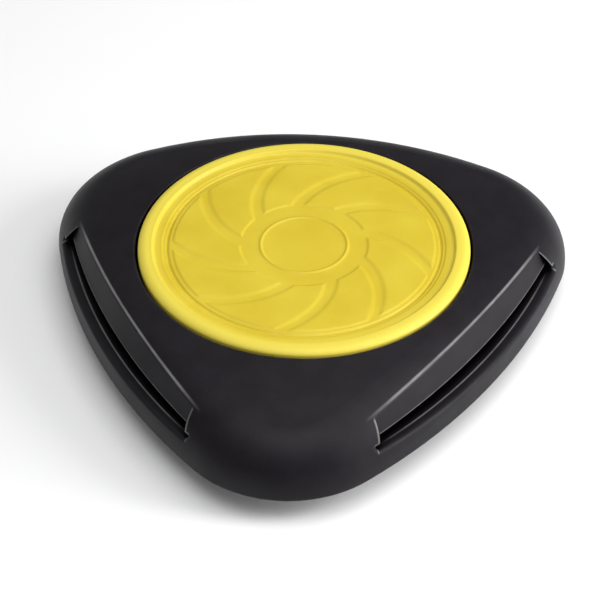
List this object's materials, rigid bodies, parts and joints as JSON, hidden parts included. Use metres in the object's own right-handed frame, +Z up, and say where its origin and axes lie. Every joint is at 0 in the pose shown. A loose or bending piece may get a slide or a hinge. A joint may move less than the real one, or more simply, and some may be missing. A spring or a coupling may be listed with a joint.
{
  "type": "ball-roller sliding disc",
  "caption": "Rounded-triangular floor slider for core exercise: black moulded shell, round yellow grip pad on top, three caster balls underneath that roll in every direction.",
  "frame": {"origin": "on the vertical three-fold axis, at floor level, where the three balls stand", "axes": "+Z up through the pad; -Y points to the front corner; +X to the right"},
  "size_m": [0.2068, 0.1996, 0.0422],
  "materials": {
    "cover_black": "fine spark-eroded texture",
    "base_black": "smooth satin",
    "pad_yellow": "matte with low relief",
    "adhesive": "double-sided adhesive film",
    "screw_steel": "black zinc",
    "zinc_steel": "bright blue zinc plate",
    "spring_steel": "phosphated",
    "bearing_steel": "polished",
    "felt": "pressed wool felt",
    "nylon_white": "ground nylon"
  },
  "bodies": {
    "shell": {"top_cover": "cover_black", "base_plate": "base_black", "grip_pad": "pad_yellow", "pad_adhesive": "adhesive", "base_screws": "screw_steel", "ball_housing_front": "zinc_steel", "ball_retainer_front": "zinc_steel", "dust_seal_front": "felt", "retaining_ring_front": "spring_steel", "ball_housing_rear_right": "zinc_steel", "ball_retainer_rear_right": "zinc_steel", "dust_seal_rear_right": "felt", "retaining_ring_rear_right": "spring_steel", "ball_housing_rear_left": "zinc_steel", "ball_retainer_rear_left": "zinc_steel", "dust_seal_rear_left": "felt", "retaining_ring_rear_left": "spring_steel"},
    "bed_front": {"bed_balls_front": "bearing_steel"},
    "ball_front": {"load_ball_front": "nylon_white"},
    "bed_rear_right": {"bed_balls_rear_right": "bearing_steel"},
    "ball_rear_right": {"load_ball_rear_right": "nylon_white"},
    "bed_rear_left": {"bed_balls_rear_left": "bearing_steel"},
    "ball_rear_left": {"load_ball_rear_left": "nylon_white"}
  },
  "joints": [
    {"name": "bed_front_turn", "type": "hinge", "parent": "shell", "child": "bed_front", "pos_m": [0, -0.0745, 0.01588], "axis": [0, 0, 1], "continuous": true},
    {"name": "ball_front_roll", "type": "hinge", "parent": "bed_front", "child": "ball_front", "pos_m": [0, -0.0745, 0.01588], "axis": [1, 0, 0], "continuous": true},
    {"name": "bed_rear_right_turn", "type": "hinge", "parent": "shell", "child": "bed_rear_right", "pos_m": [0.06452, 0.03725, 0.01588], "axis": [0, 0, 1], "continuous": true},
    {"name": "ball_rear_right_roll", "type": "hinge", "parent": "bed_rear_right", "child": "ball_rear_right", "pos_m": [0.06452, 0.03725, 0.01588], "axis": [1, 0, 0], "continuous": true},
    {"name": "bed_rear_left_turn", "type": "hinge", "parent": "shell", "child": "bed_rear_left", "pos_m": [-0.06452, 0.03725, 0.01588], "axis": [0, 0, 1], "continuous": true},
    {"name": "ball_rear_left_roll", "type": "hinge", "parent": "bed_rear_left", "child": "ball_rear_left", "pos_m": [-0.06452, 0.03725, 0.01588], "axis": [1, 0, 0], "continuous": true}
  ]
}
